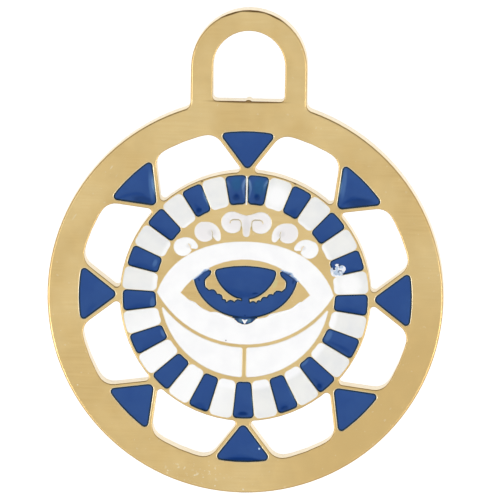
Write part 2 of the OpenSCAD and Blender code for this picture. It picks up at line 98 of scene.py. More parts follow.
class Outline:
    """Closed outlines in the plane of the face, with the material on their left."""

    @staticmethod
    def of_node(node: str, height: float) -> list[Array]:
        """Reads the outlines of a node's flat face at one height.

        Args:
            node: Name of the node.
            height: Height of the face in millimetres.

        Returns:
            The outlines, each an array of points.
        """
        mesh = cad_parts[node].data
        points = np.array([v.co for v in mesh.vertices], float) / MM
        keys = [tuple(p) for p in np.round(points / WELD).astype(int)]
        sides: dict[tuple, tuple] = {}
        place: dict[tuple, Array] = {}
        for face in mesh.polygons:
            corners = list(face.vertices)
            if np.abs(points[corners, 2] - height).max() > 2 * WELD:
                continue
            for a, b in zip(corners, corners[1:] + corners[:1]):
                place[keys[a]] = points[a, :2]
                if keys[a] in sides.get(keys[b], ()):
                    sides[keys[b]] = tuple(k for k in sides[keys[b]] if k != keys[a])
                else:
                    sides[keys[a]] = sides.get(keys[a], ()) + (keys[b],)
        return Outline._chained({k: v for k, v in sides.items() if v}, place)

    @staticmethod
    def _chained(sides: dict[tuple, tuple], place: dict[tuple, Array]) -> list[Array]:
        """Joins the open sides of a face into closed outlines.

        Args:
            sides: The corners that follow each corner.
            place: Where each corner lies.

        Returns:
            The outlines.
        """
        loops = []
        while sides:
            start = key = next(iter(sides))
            loop = []
            while not loop or key != start:
                loop.append(place[key])
                following, *rest = sides.pop(key)
                if rest:
                    sides[key] = tuple(rest)
                key = following
            loops.append(np.array(loop))
        return loops

    @staticmethod
    def area(loop: Array) -> float:
        """Gives the area, which is negative round a hole."""
        x, y = loop.T
        return 0.5 * float(np.sum(x * np.roll(y, -1) - y * np.roll(x, -1)))

    @staticmethod
    def outside_eye(loop: Array) -> bool:
        """Tells whether an outline belongs to a ray or a block of the ring."""
        return float(np.hypot(*loop.mean(0))) > RING_INSIDE

    @staticmethod
    def spaced(loop: Array, step: float) -> Array:
        """Adds points so that no side is longer than a step.

        Args:
            loop: The outline.
            step: Longest side.

        Returns:
            The finer outline.
        """
        out = []
        for p, q in zip(loop, np.roll(loop, -1, 0)):
            count = max(1, math.ceil(float(np.hypot(*(q - p))) / step - 1e-6))
            out.extend(p + (q - p) * i / count for i in range(count))
        return np.array(out)

    @staticmethod
    def moved(loop: Array, distance: float) -> Array:
        """Moves an outline to its left, into the material.

        Args:
            loop: The outline.
            distance: How far, or how far out where it is negative.

        Returns:
            The moved outline with the same number of points.
        """
        way = np.roll(loop, -1, 0) - loop
        way /= np.linalg.norm(way, axis=1)[:, None]
        after = np.stack([-way[:, 1], way[:, 0]], 1)
        before = np.roll(after, 1, 0)
        lean = 1 + np.sum(after * before, 1)
        return loop + (after + before) * distance / np.maximum(lean, LEAST_LEAN)[:, None]

    @staticmethod
    def distance(points: Array, loops: Loops) -> Array:
        """Measures from points to the nearest outline.

        Args:
            points: The points.
            loops: The outlines.

        Returns:
            One distance for each point.
        """
        start = np.concatenate(loops)
        way = np.concatenate([np.roll(loop, -1, 0) - loop for loop in loops])
        square = np.maximum((way * way).sum(1), LEAST)
        nearest = np.empty(len(points))
        for i in range(0, len(points), BATCH):
            some = points[i:i + BATCH, None]
            share = np.clip(((some - start) * way).sum(2) / square, 0, 1)
            gap = some - (start + share[..., None] * way)
            nearest[i:i + BATCH] = np.sqrt((gap * gap).sum(2).min(1))
        return nearest

    @staticmethod
    def inside(points: Array, loops: Loops) -> Array:
        """Tells which points lie in the material between the outlines.

        Args:
            points: The points.
            loops: The outlines.

        Returns:
            One truth value for each point.
        """
        x1, y1 = np.concatenate(loops).T
        x2, y2 = np.concatenate([np.roll(loop, -1, 0) for loop in loops]).T
        rise = np.where(np.abs(y2 - y1) < LEAST, LEAST, y2 - y1)
        found = np.empty(len(points), bool)
        for i in range(0, len(points), BATCH):
            x, y = points[i:i + BATCH, None].transpose(2, 0, 1)
            passes = ((y1 > y) != (y2 > y)) & (x < (x2 - x1) * (y - y1) / rise + x1)
            found[i:i + BATCH] = (passes * np.sign(y2 - y1)).sum(1) > 0
        return found

    @staticmethod
    def covered(
        loops: Loops, across: float, up: float, shift: float, clear: float
    ) -> Array:
        """Spreads rows of points over the material between the outlines.

        Args:
            loops: The outlines.
            across: Step between the points of a row.
            up: Step between the rows.
            shift: How far every second row lies to the right.
            clear: Distance to the outlines that the points keep.

        Returns:
            The points.
        """
        low, high = np.concatenate(loops).min(0), np.concatenate(loops).max(0)
        x, y = np.meshgrid(np.arange(low[0], high[0], across), np.arange(low[1], high[1], up))
        x = x + (np.arange(len(x)) % 2)[:, None] * shift
        points = np.column_stack([x.ravel(), y.ravel()])
        points = points[Outline.inside(points, loops)]
        return points[Outline.distance(points, loops) > clear]

    @staticmethod
    def curved(points: Points, parts: int, closed: bool = False) -> Array:
        """Draws a smooth curve through points.

        Args:
            points: The points.
            parts: Number of parts between two points.
            closed: Whether the curve comes back to its start.

        Returns:
            The curve's points.
        """
        given = np.array(points, float)
        if closed:
            given = np.concatenate([given[-1:], given, given[:2]])
        else:
            given = np.concatenate([2 * given[:1] - given[1:2], given, 2 * given[-1:] - given[-2:-1]])
        out = []
        for a, b, c, d in zip(given, given[1:], given[2:], given[3:]):
            for t in (i / parts for i in range(parts)):
                out.append(0.5 * (2 * b + (c - a) * t + (2 * a - 5 * b + 4 * c - d) * t * t
                                  + (3 * b - a - 3 * c + d) * t ** 3))
        if not closed:
            out.append(given[-2])
        return np.array(out)


def turned(corners: Array, triangles: Array) -> Array:
    """Turns the long side of every triangle without height, which keeps each point of a straight outline.

    Args:
        corners: Corners of the triangles.
        triangles: The triangles.

    Returns:
        The triangles, without those that stay a mere line, which lie along the outside.
    """
    faces = [[int(i) for i in row] for row in triangles]
    for _ in range(ROUNDS):
        owner = {(row[i - 1], row[i]): n for n, row in enumerate(faces) for i in range(3)}
        a, b, c = (corners[[row[i] for row in faces]] for i in range(3))
        sides = np.stack([np.hypot(*(q - p).T) for p, q in ((a, b), (b, c), (c, a))])
        double = np.abs((b - a)[:, 0] * (c - a)[:, 1] - (b - a)[:, 1] * (c - a)[:, 0])
        thin = double < THIN * sides.max(0)
        done: set[int] = set()
        for n in np.flatnonzero(thin):
            at = int(sides[:, n].argmax())
            start, end, middle = (faces[n][(at + i) % 3] for i in range(3))
            other = owner.get((end, start))
            if other is None or thin[other] or n in done or other in done:
                continue
            far = next(i for i in faces[other] if i not in (start, end))
            faces[n], faces[other] = [start, far, middle], [far, end, middle]
            done |= {int(n), other}
        if not done:
            break
    return np.array([row for n, row in enumerate(faces) if n in done or not thin[n]])


def filled(
    loops: Loops, within: Iterable[Array] = ()
) -> tuple[Array, Array]:
    """Covers the material between outlines with triangles.

    Args:
        loops: The outlines.
        within: More points that become corners.

    Returns:
        The corners, and the triangles as rows of three corner numbers.
    """
    sides = []
    first = 0
    for loop in loops:
        sides += [(first + i, first + (i + 1) % len(loop)) for i in range(len(loop))]
        first += len(loop)
    points = np.concatenate([*loops, *within])
    found = delaunay_2d_cdt([Vector(p) for p in points], sides, [], 0, 1e-6, False)
    corners = np.array([tuple(v) for v in found[0]])
    triangles = turned(corners, np.array(found[2]))
    keep = Outline.inside(corners[triangles].mean(1), loops)
    return corners, triangles[keep]


def skin(corners: Array, triangles: Array, held: Array) -> Array:
    """Works out how a liquid's skin bows between edges that hold it.

    Args:
        corners: Corners of the skin's triangles.
        triangles: The triangles.
        held: Which corners lie on the edge.

    Returns:
        For each corner, its share of the largest bow, from 0 at the edge to 1.
    """
    steepest = 20
    pull = np.zeros((len(corners), len(corners)))
    load = np.zeros(len(corners))
    for turn in range(3):
        i, j, k = np.roll(triangles, turn, 1).T
        a, b = corners[j] - corners[i], corners[k] - corners[i]
        double = np.maximum(np.abs(a[:, 0] * b[:, 1] - a[:, 1] * b[:, 0]), LEAST)
        weight = np.clip((a * b).sum(1) / double / 2, -steepest, steepest)
        for p, q, sign in ((j, k, -1), (k, j, -1), (j, j, 1), (k, k, 1)):
            np.add.at(pull, (p, q), sign * weight)
        np.add.at(load, i, double / 6)
    free = np.flatnonzero(~held & (load > 0))
    bow = np.zeros(len(corners))
    bow[free] = np.linalg.solve(pull[np.ix_(free, free)], load[free])
    return np.clip(bow / max(bow.max(), LEAST), 0, 1)


@dataclass
class MeshMaker:
    """Gathers the faces of one piece, and makes the Blender object."""

    name: str
    corners: list[Array] = field(default_factory=list)
    faces: list[tuple[int, ...]] = field(default_factory=list)

    def _row(self, flat: Array, height: Array | float, edge: Array | float) -> int:
        """Adds corners.

        Args:
            flat: The corners in the plane of the face.
            height: Their height.
            edge: Their distance to the nearest edge.

        Returns:
            Number of the first one.
        """
        others = [np.broadcast_to(value, len(flat)) for value in (height, edge)]
        self.corners.append(np.column_stack([flat, *others]))
        return sum(map(len, self.corners[:-1]))

    def surface(
        self,
        flat: Array,
        triangles: Array,
        height: Array | float,
        edge: Array | float = 0.0,
        face_down: bool = False,
    ) -> None:
        """Adds triangles over the plane of the face, with the height and edge distance of each corner."""
        order = [0, 2, 1] if face_down else [0, 1, 2]
        self.faces += map(tuple, (triangles + self._row(flat, height, edge))[:, order].tolist())

    def wall(
        self,
        rows: Loops,
        heights: Sequence[Array | float],
        edges: Sequence[float] | float = 0.0,
        closed: bool = True,
    ) -> None:
        """Adds the wall that runs through lines with equal numbers of points.

        Args:
            rows: The lines, from the upper to the lower one.
            heights: Height of each line, or of each of its points.
            edges: What each line keeps as its distance to the edge.
            closed: Whether the lines are closed. A wall of open ones gets a bottom and two ends.
        """
        size = len(rows[0])
        firsts = [self._row(*row) for row in zip(rows, heights, np.broadcast_to(edges, len(rows)))]
        for upper, lower in zip(firsts, firsts[1:] + (firsts[:1] if not closed else [])):
            for i in range(size if closed else size - 1):
                j = (i + 1) % size
                corners = (upper + j, upper + i, lower + i, lower + j)
                # The first corner decides along which diagonal a face is cut
                self.faces.append(corners if closed else corners[1:] + corners[:1])
        if not closed:
            self.faces += [tuple(reversed(firsts)), tuple(first + size - 1 for first in firsts)]

    def make(self, smooth_angle: float = 60.0, flat_stays_flat: bool = False) -> Thing:
        """Makes the object.

        Args:
            smooth_angle: Angle in degrees up to which neighbouring faces shade as one.
            flat_stays_flat: Whether level faces keep clear of their neighbours' shading.

        Returns:
            The new object, in metres.
        """
        corners = np.concatenate(self.corners)
        mesh = bpy.data.meshes.new(self.name)
        mesh.from_pydata((corners[:, :3] * MM).tolist(), [], self.faces)
        distance = mesh.attributes.new("edge_distance", "FLOAT", "POINT")
        distance.data.foreach_set("value", corners[:, 3].astype(np.float32))
        work = bmesh.new()
        work.from_mesh(mesh)
        bmesh.ops.remove_doubles(work, verts=work.verts, dist=SEAM * MM)
        for side in work.edges:
            if len(side.link_faces) == 2:
                level = [abs(f.normal.z) > 0.9999 for f in side.link_faces]
                split = flat_stays_flat and level[0] != level[1]
                side.smooth = not split and math.degrees(side.calc_face_angle(0.0)) <= smooth_angle
        for face in work.faces:
            face.smooth = True
        work.to_mesh(mesh)
        work.free()
        made = bpy.data.objects.new(self.name, mesh)
        bpy.context.scene.collection.objects.link(made)
        return made


class NodeTree:
    """Node tree with short calls for the nodes used here."""

    def __init__(self, tree: bpy.types.NodeTree, place: str) -> None:
        """Takes over a tree.

        Args:
            tree: The tree.
            place: Output of the coordinate node that tells one place from another.
        """
        self.nodes = tree.nodes
        self.links = tree.links
        self.here = self.node("ShaderNodeTexCoord", {}).outputs[place]

    def feed(self, socket: Socket, value: Socket | Sequence[float] | float) -> None:
        """Links an output to an input, or sets the input to a value.

        Args:
            socket: The input.
            value: The output or the value.
        """
        if isinstance(value, Socket):
            self.links.new(value, socket)
        else:
            socket.default_value = (*value, 1.0) if socket.type == "RGBA" else value

    def node(self, kind: str, inputs: dict, **settings: str) -> bpy.types.Node:
        """Makes a node.

        Args:
            kind: Blender's name of its kind.
            inputs: What feeds each input, by its name or number.
            settings: The node's own settings.

        Returns:
            The node.
        """
        made = self.nodes.new(kind)
        for name, choice in settings.items():
            setattr(made, name, choice)
        for name, value in inputs.items():
            self.feed(made.inputs[name], value)
        return made

    def place(
        self, scale: Sequence[float] = (1, 1, 1), move: Sequence[float] = (0, 0, 0), turn: float = 0.0
    ) -> Socket:
        """Gives the place on the object in millimetres.

        Args:
            scale: Stretch along each axis, after the shift.
            move: Point that becomes the origin.
            turn: Turn about the upright axis in degrees.

        Returns:
            The socket with the place.
        """
        inputs = {
            "Vector": self.here, "Location": [m * MM for m in move],
            "Rotation": (0, 0, math.radians(turn)), "Scale": [MM / s for s in scale],
        }
        return self.node("ShaderNodeMapping", inputs, vector_type="TEXTURE").outputs["Vector"]

    def noise(
        self, scale: float, detail: float = 2.0, rough: float = 0.5, place: Socket | None = None
    ) -> Socket:
        """Gives noise from 0 to 1, with scale waves in a millimetre."""
        inputs = {"Vector": place or self.place(), "Scale": scale, "Detail": detail, "Roughness": rough}
        return self.node("ShaderNodeTexNoise", inputs).outputs["Fac"]

    def fade(
        self, value: Socket, low: float, high: float, to_low: float = 0.0, to_high: float = 1.0
    ) -> Socket:
        """Turns a value between low and high smoothly into one between to_low and to_high."""
        inputs = {"Value": value, "From Min": low, "From Max": high, "To Min": to_low, "To Max": to_high}
        return self.node("ShaderNodeMapRange", inputs, interpolation_type="SMOOTHSTEP").outputs["Result"]

    def math(self, operation: str, first: Socket | float, *others: Socket | float) -> Socket:
        """Joins values one after the other.

        Args:
            operation: Name of Blender's operation.
            first: The first value.
            others: The values that are joined to it.

        Returns:
            The socket with the result.
        """
        for other in others:
            first = self.node("ShaderNodeMath", {0: first, 1: other}, operation=operation).outputs[0]
        return first

    def mixed(self, share: Socket, a: Socket | Colour, b: Socket | Colour) -> Socket:
        """Mixes two colours, with a share of the second."""
        return self.node("ShaderNodeMix", {0: share, 6: a, 7: b}, data_type="RGBA").outputs[2]

    def vector(self, operation: str, a: Socket, b: Sequence[float] = (0, 0, 0)) -> Socket:
        """Joins a vector with a fixed one, or measures it, as Blender names the operation."""
        made = self.node("ShaderNodeVectorMath", {0: a, 1: b}, operation=operation)
        return made.outputs["Value" if operation == "LENGTH" else "Vector"]

    def apart(self, point: Sequence[float], scale: Sequence[float]) -> Socket:
        """Gives the distance between the bare place and a point, stretched along each axis."""
        gap = self.vector("SUBTRACT", self.here, point)
        return self.vector("LENGTH", self.vector("MULTIPLY", gap, scale))

    def part(self, vector: Socket, axis: str) -> Socket:
        """Gives one part of a vector, named X, Y or Z."""
        return self.node("ShaderNodeSeparateXYZ", {0: vector}).outputs[axis]


class Surface(NodeTree):
    """Node tree of one material, with its surface shader."""

    def __init__(self, name: str, **sockets: float | Colour) -> None:
        """Starts a material that holds one surface shader.

        Args:
            name: Name of the material.
            sockets: The shader's own values by socket name, with underscores.
        """
        self.material = bpy.data.materials.new(name)
        self.material.use_nodes = True
        super().__init__(self.material.node_tree, "Object")
        self.shader = self.nodes["Principled BSDF"]
        for socket, value in sockets.items():
            self.feed(self.shader.inputs[socket.replace("_", " ")], value)

    def spot(
        self, x: float, y: float, half_x: float, half_y: float, turn: float = 0.0, half_z: float = 50.0
    ) -> Socket:
        """Gives 1 at a place on the face, which falls to 0 at an ellipse round it."""
        place = self.place((1 / half_x, 1 / half_y, 1 / half_z), (x, y, FACE), turn)
        return self.fade(self.vector("LENGTH", place), *SPOT_FADE)

    def spots(self, marks: Marks, share: float = 1.0) -> Socket:
        """Gives a share on each of several spots, and 0 elsewhere."""
        return self.math("MULTIPLY", self.math("MAXIMUM", *(self.spot(*mark) for mark in marks)), share)

    def marked(self, tone: Socket, marks: Marks, share: float, colour: Colour) -> Socket:
        """Mixes a share of a colour into the tone on each of several spots."""
        return self.mixed(self.spots(marks, share), tone, colour)

    def edge_distance(self) -> Socket:
        """Gives the distance to the nearest edge of the field, in millimetres."""
        return self.node("ShaderNodeAttribute", {}, attribute_name="edge_distance").outputs["Fac"]

    def level(self) -> Socket:
        """Gives 1 where the surface is level, and 0 on an upright wall."""
        return self.part(self.node("ShaderNodeNewGeometry", {}).outputs["Normal"], "Z")

    def bump(self, height: Socket, depth: float, strength: float) -> None:
        """Roughens the surface by a relief from 0 to 1, which is so many millimetres deep."""
        node = self.node("ShaderNodeBump", {"Height": height, "Distance": depth * MM, "Strength": strength})
        self.feed(self.shader.inputs["Normal"], node.outputs["Normal"])

    def done(self, tone: Socket) -> Material:
        """Sets the surface's colour and gives the finished material."""
        self.feed(self.shader.inputs["Base Color"], tone)
        return self.material


@dataclass(frozen=True)
class BrassFinish:
    """Satin brass with faint level streaks, blotches, specks and scratches, and painted light: paler
    upright walls, a painted highlight along the cell rims, painted shade on the rounded edges, on a few
    edge lines, in the curl notches and on one side, and a painted reflection of the enamel.
    """

    slot: str = "gold_metal"
    body: Colour = srgb(236, 206, 144)
    pale: Colour = srgb(243, 216, 157)
    deep: Colour = srgb(226, 193, 129)
    # Upright walls are painted paler than the face: painted light that stands in for the bright light on
    # them
    wall: Colour = srgb(240, 224, 190)
    # Painted highlight: a pale line on the rounded rims of the cells
    painted_rim_highlight: Colour = srgb(252, 246, 226)
    # Painted shade: a dark band on the rounded edges of the rim and the windows, in place of a dark
    # reflection
    painted_edge_shade: Colour = srgb(138, 100, 58)
    light: Colour = srgb(255, 244, 214)
    # Colour of the painted dark edge lines
    dark: Colour = srgb(120, 84, 40)
    # Colour of the painted shade in the curl notches
    painted_curl_shade_tone: Colour = srgb(118, 110, 84)
    # Colour of the painted reflection of the enamel on the metal
    green: Colour = srgb(222, 218, 158)
    roughness: Range = (0.30, 0.39)
    relief: Range = (0.002, 0.5)
    painted_wall_light_levels: Range = (0.5, 0.2)
    painted_edge_shade_levels: tuple[Range, Range] = ((0.98, 0.88), (0.35, 0.6))
    painted_edge_shade_share: float = 0.5
    painted_rim_highlight_levels: tuple[Range, Range] = ((0.995, 0.93), (0.1, 0.4))
    painted_rim_highlight_reach: Range = (0.5, 0.0)
    painted_rim_highlight_share: float = 0.7
    # Painted shade: dark lines along a few edges, which stand in for dark reflections and a shadow
    painted_dark_edges: Marks = (
        (-9.78, 0.52, 0.26, 0.05, 0, 0.2), (-3.42, 8.72, 0.16, 0.07, 25, 0.2),
        (3.62, 8.70, 0.18, 0.08, -25, 0.2), (9.62, 1.3, 0.2, 0.05, 10, 0.2),
        (0.35, -14.98, 1.0, 0.05, 0, 0.3), (-0.1, 14.87, 3.7, 0.16, 0, 0.3),
        (0.3, 21.76, 1.7, 0.13, -2, 0.3), (-1.45, 21.5, 1.3, 0.11, 19, 0.3),
        (1.9, 21.33, 1.2, 0.11, -25, 0.3),
    )
    # Painted shade in the narrow notches round the curls
    painted_curl_shade: Marks = (
        (-0.75, 5.5, 0.66, 0.62), (0.75, 5.5, 0.66, 0.62), (-2.62, 4.75, 0.3, 0.5), (2.62, 4.75, 0.3, 0.5),
    )
    # Painted reflection: a green tint that the enamel beside it throws on the metal
    painted_enamel_reflection: Marks = ((2.25, 1.05, 0.24, 0.5, -22),)
    # Painted shade: the lower right side darker
    painted_shade_side: Marks = ((10.5, -8.8, 16.0, 9.0, 50),)
    scratched_side: Marks = ((-11.6, 8.2, 4.5, 2.2, 45),)
    dotted_foot: Marks = ((-3.6, -13.5, 3.4, 1.2),)
    dots: Marks = (
        (0.09, -14.73, 0.1, 0.08), (-3.6, -13.72, 0.12, 0.08, 20), (-2.05, -14.5, 0.08, 0.08),
        (-5.65, -13.4, 0.1, 0.07, -30), (-12.6, -7.0, 0.09, 0.07),
    )

    def _light_marks(self, g: Surface) -> Socket:
        """Gives the small pale marks: dots and specks all over, more at the foot, and fine scratches.

        Args:
            g: The material's tree.

        Returns:
            The socket with their strength.
        """
        specks = g.fade(g.noise(3.2, 1.0), 0.70, 0.76)
        small = g.fade(g.noise(4.2, 1.0, place=g.place(move=(40, 7, 0))), 0.60, 0.74)
        along = g.place((3.0, 0.5, 1.0), (-11.5, 9.5, 0), -35)
        scratch = g.fade(g.noise(1.4, 1.0, place=along), 0.68, 0.74)
        return g.math(
            "MAXIMUM",
            g.math("MULTIPLY", small, g.spots(self.dotted_foot, 0.6)),
            g.math("MULTIPLY", specks, 0.22),
            g.math("MULTIPLY", scratch, g.spots(self.scratched_side, 0.6)),
            g.spots(self.dots, 0.8),
        )

    def material(self) -> Material:
        """Builds the material.

        Returns:
            The brass.
        """
        g = Surface("satin_brass", Metallic=1.0)
        streak = g.noise(1.0, 3.0, place=g.place((0.35, 5.0, 1.0)))
        grain = g.noise(9.0, 3.0, 0.6)
        tone = g.mixed(g.fade(g.noise(0.22, 3.0), 0.35, 0.65), self.deep, self.pale)
        tone = g.mixed(g.fade(streak, 0.3, 0.7, 0.25, 0.75), tone, self.body)
        # Painted shade on the lower right side
        tone = g.marked(tone, self.painted_shade_side, 0.85, self.deep)
        tone = g.mixed(self._light_marks(g), tone, self.light)
        # Painted shade in the curl notches
        tone = g.marked(tone, self.painted_curl_shade, 0.8, self.painted_curl_shade_tone)
        # Painted reflection of the enamel
        tone = g.marked(tone, self.painted_enamel_reflection, 0.6, self.green)
        level, edge = g.level(), g.edge_distance()
        # Painted light: upright walls paler
        tone = g.mixed(g.fade(level, *self.painted_wall_light_levels), tone, self.wall)
        # Painted shade on the rounded edges of the rim and the windows
        painted_edge_shade = g.math("MULTIPLY", *(g.fade(level, *ends) for ends in self.painted_edge_shade_levels), edge, self.painted_edge_shade_share)
        tone = g.mixed(painted_edge_shade, tone, self.painted_edge_shade)
        # Painted highlight along the rounded rims of the cells
        near = g.fade(edge, *self.painted_rim_highlight_reach, 0.0, self.painted_rim_highlight_share)
        painted_rim_highlight = g.math("MULTIPLY", *(g.fade(level, *ends) for ends in self.painted_rim_highlight_levels), near)
        tone = g.mixed(painted_rim_highlight, tone, self.painted_rim_highlight)
        # Painted shade: dark lines along a few edges
        tone = g.marked(tone, self.painted_dark_edges, 0.75, self.dark)
        g.feed(g.shader.inputs["Roughness"], g.fade(g.noise(1.1, 3.0), 0.3, 0.7, *self.roughness))
        g.bump(g.math("ADD", grain, g.math("MULTIPLY", streak, 0.6)), *self.relief)
        return g.done(tone)


@dataclass(frozen=True)
class BlueFinish:
    """Glossy deep blue enamel, with a thin line of painted shade along the metal, painted dark reflections,
    painted highlights and a painted glint.
    """

    slot: str = "blue_enamel"
    body: Colour = srgb(37, 70, 134)
    soft: Colour = srgb(42, 75, 137)
    teal: Colour = srgb(28, 87, 131)
    # Colour of the thin line of painted shade along the metal
    line: Colour = srgb(24, 42, 54)
    # Colour of the painted dark reflections
    deep: Colour = srgb(8, 46, 108)
    thin: Colour = srgb(92, 128, 146)
    # Colour of the painted glint
    painted_glint_tone: Colour = srgb(196, 220, 246)
    # Colour of the painted highlights
    painted_highlight_tone: Colour = srgb(92, 132, 184)
    gloss: Colour = srgb(190, 232, 255)
    roughness: float = 0.11
    relief: Range = (0.004, 0.3)
    ior: float = 1.43
    line_reach: Range = (0.14, 0.05)
    teal_pair: Marks = ((0.95, 8.4, 0.8, 1.0), (-0.8, 8.6, 0.6, 0.8))
    # Painted dark reflections in the bowed skins of the fields
    painted_dark_reflections: Marks = (
        (-3.53, 1.25, 0.12, 0.2, 20), (3.62, 1.22, 0.14, 0.26, -10), (0.755, 0.262, 0.34, 0.1, 4),
        (0.0, -1.44, 0.1, 0.09), (-7.88, 7.19, 1.1, 0.44, -8), (8.53, 7.33, 1.3, 0.46, 4),
        (-0.81, 7.55, 0.42, 0.34), (0.77, 7.58, 0.32, 0.36), (-0.03, -8.95, 0.52, 0.22),
        (3.14, -8.47, 0.4, 0.26, 16), (5.72, -6.70, 0.26, 0.26), (-3.07, -8.70, 0.34, 0.16, -16),
        (-3.61, 6.50, 0.32, 0.28), (0.0, -12.42, 1.9, 0.18),
    )
    # Painted highlights: soft pale bands where the side lights show in the bowed skins
    painted_highlights: Marks = (
        (-7.27, 8.35, 0.26, 1.5, 5.7), (7.32, 8.85, 0.26, 1.6, -5.5), (-7.02, -0.62, 0.26, 0.6),
        (6.36, -2.86, 0.3, 0.62, -25), (-6.2, -2.92, 0.2, 0.42, 25), (-6.88, 2.42, 0.22, 0.4, -20),
        (4.6, -4.92, 0.2, 0.5, -45),
    )
    iris_foot: Marks = ((0.0, -1.78, 0.95, 0.36),)
    tear_sides: Marks = ((-0.30, -1.82, 0.26, 0.2, -30), (0.30, -1.82, 0.26, 0.2, 30))
    # Painted glint
    painted_glints: Marks = ((1.25, -11.6, 0.1, 0.1),)

    def material(self) -> Material:
        """Builds the material.

        Returns:
            The blue enamel.
        """
        g = Surface("blue_enamel", Roughness=self.roughness, IOR=self.ior, Specular_Tint=self.gloss)
        tone = g.mixed(g.fade(g.noise(0.5), 0.35, 0.65), self.body, self.soft)
        tone = g.marked(tone, self.teal_pair, 0.6, self.teal)
        # Painted dark reflections
        tone = g.marked(tone, self.painted_dark_reflections, 0.8, self.deep)
        # Painted highlights
        tone = g.marked(tone, self.painted_highlights, 0.38, self.painted_highlight_tone)
        # Painted shade: a thin dark line along the metal
        tone = g.mixed(g.fade(g.edge_distance(), *self.line_reach), tone, self.line)
        tone = g.marked(tone, self.iris_foot, 0.8, self.soft)
        tone = g.marked(tone, self.tear_sides, 0.8, self.thin)
        # Painted glint
        tone = g.marked(tone, self.painted_glints, 1.0, self.painted_glint_tone)
        g.bump(g.noise(1.3), *self.relief)
        return g.done(tone)


@dataclass(frozen=True)
class WhiteFinish:
    """Glossy white enamel, a little greyer where it thins out and where it covers the metal."""

    slot: str = "white_enamel"
    body: Colour = srgb(253, 253, 253)
    grey: Colour = srgb(248, 248, 249)
    ring: Colour = srgb(239, 239, 236)
    ring_grey: Colour = srgb(231, 232, 232)
    crest: Colour = srgb(238, 235, 235)
    line: Colour = srgb(238, 232, 220)
    shade: Colour = srgb(208, 205, 204)
    speck: Colour = srgb(120, 110, 112)
    roughness: float = 0.2
    relief: Range = (0.005, 0.3)
    ior: float = 1.5
    line_reach: Range = (0.07, 0.0)
    ring_start: Range = (6.9, 7.3)
    folds: Marks = (
        (-2.62, 4.85, 0.42, 0.36), (2.62, 4.85, 0.42, 0.36), (-4.32, 3.82, 0.3, 0.26),
        (4.32, 3.82, 0.3, 0.26), (0.0, 5.2, 0.4, 1.2),
    )
    scrolls: Marks = ((0.0, 5.72, 2.9, 1.5), (-3.05, 4.95, 1.5, 1.2, -25), (3.15, 4.95, 1.5, 1.2, 25))
    bright_blocks: Marks = ((-5.8, -5.6, 7.5, 7.5), (7.9, 1.1, 1.3, 1.3), (2.26, 7.67, 1.3, 1.3))
    specks: Marks = ((-1.41, -3.36, 0.08, 0.07),)

    def material(self) -> Material:
        """Builds the material.

        Returns:
            The white enamel.
        """
        g = Surface("white_enamel", Roughness=self.roughness, IOR=self.ior)
        cloud = g.fade(g.noise(0.8), 0.3, 0.75)
        ring = g.marked(g.mixed(cloud, self.ring, self.ring_grey), self.bright_blocks, 0.9, self.body)
        far = g.apart((0.0, 0.0, 0.0), (1 / MM, 1 / MM, 0.0))
        tone = g.mixed(g.fade(far, *self.ring_start), g.mixed(cloud, self.body, self.grey), ring)
        tone = g.marked(tone, self.scrolls, 1.0, self.crest)
        tone = g.marked(tone, self.folds, 0.4, self.shade)
        tone = g.mixed(g.fade(g.edge_distance(), *self.line_reach), tone, self.line)
        tone = g.marked(tone, self.specks, 0.8, self.speck)
        g.bump(g.noise(1.8), *self.relief)
        return g.done(tone)


@dataclass(frozen=True)
class RunFinish:
    """Blue enamel that ran into the white beside it, and is milky along that side."""

    slot: str = "blue_enamel"
    blue: Colour = srgb(28, 68, 130)
    milk: Colour = srgb(150, 178, 214)
    white: Colour = srgb(244, 246, 249)
    roughness: float = 0.16
    relief: Range = (0.004, 0.3)
    ior: float = 1.5
    wander: float = 0.03
    milk_reach: Range = (0.02, 0.1)
    blue_reach: Range = (0.08, 0.19)

    def material(self) -> Material:
        """Builds the material.

        Returns:
            The run enamel.
        """
        g = Surface("run_enamel", Roughness=self.roughness, IOR=self.ior)
        wander = g.fade(g.noise(3.5), 0.25, 0.75, -self.wander, self.wander)
        reach = g.math("ADD", g.edge_distance(), wander)
        tone = g.mixed(g.fade(reach, *self.milk_reach), self.white, self.milk)
        tone = g.mixed(g.fade(reach, *self.blue_reach), tone, self.blue)
        g.bump(g.noise(2.5), *self.relief)
        return g.done(tone)


@dataclass(frozen=True)
class SplashFinish:
    """White enamel splashed over blue, half mixed in flecks."""

    slot: str = "white_enamel"
    white: Colour = srgb(242, 244, 250)
    milk: Colour = srgb(188, 206, 228)
    blue: Colour = srgb(46, 70, 112)
    roughness: float = 0.18
    relief: Range = (0.03, 0.8)
    ior: float = 1.5
    grain: float = 3.2

    def material(self) -> Material:
        """Builds the material.

        Returns:
            The splashed enamel.
        """
        g = Surface("splashed_enamel", Roughness=self.roughness, IOR=self.ior)
        flecks = g.noise(self.grain, 2.0, 0.6, g.place(turn=30))
        veins = g.noise(self.grain * 0.9, 1.0, place=g.place(move=(3, 9, 0)))
        tone = g.mixed(g.fade(flecks, 0.42, 0.56), self.white, self.milk)
        tone = g.mixed(g.fade(veins, 0.54, 0.62), tone, self.blue)
        g.bump(flecks, *self.relief)
        return g.done(tone)


@dataclass(frozen=True)
class FloorFinish:
    """White light table."""

    paper: Colour = (0.2, 0.2, 0.2)
    fibre: Colour = (0.22, 0.22, 0.22)
    light: Colour = (1.0, 1.0, 1.0)
    glow: float = 0.95

    def material(self) -> Material:
        """Builds the material.

        Returns:
            The floor's finish.
        """
        g = Surface(
            "light_table", Roughness=0.9, Specular_IOR_Level=0.0,
            Emission_Color=self.light, Emission_Strength=self.glow,
        )
        return g.done(g.mixed(g.noise(0.02), self.paper, self.fibre))


class Look(Enum):
    """The finishes: the metal, the two enamels, and two for places where both enamels ran together."""

    BRASS = BrassFinish()
    BLUE = BlueFinish()
    WHITE = WhiteFinish()
    RUN = RunFinish()
    SPLASH = SplashFinish()


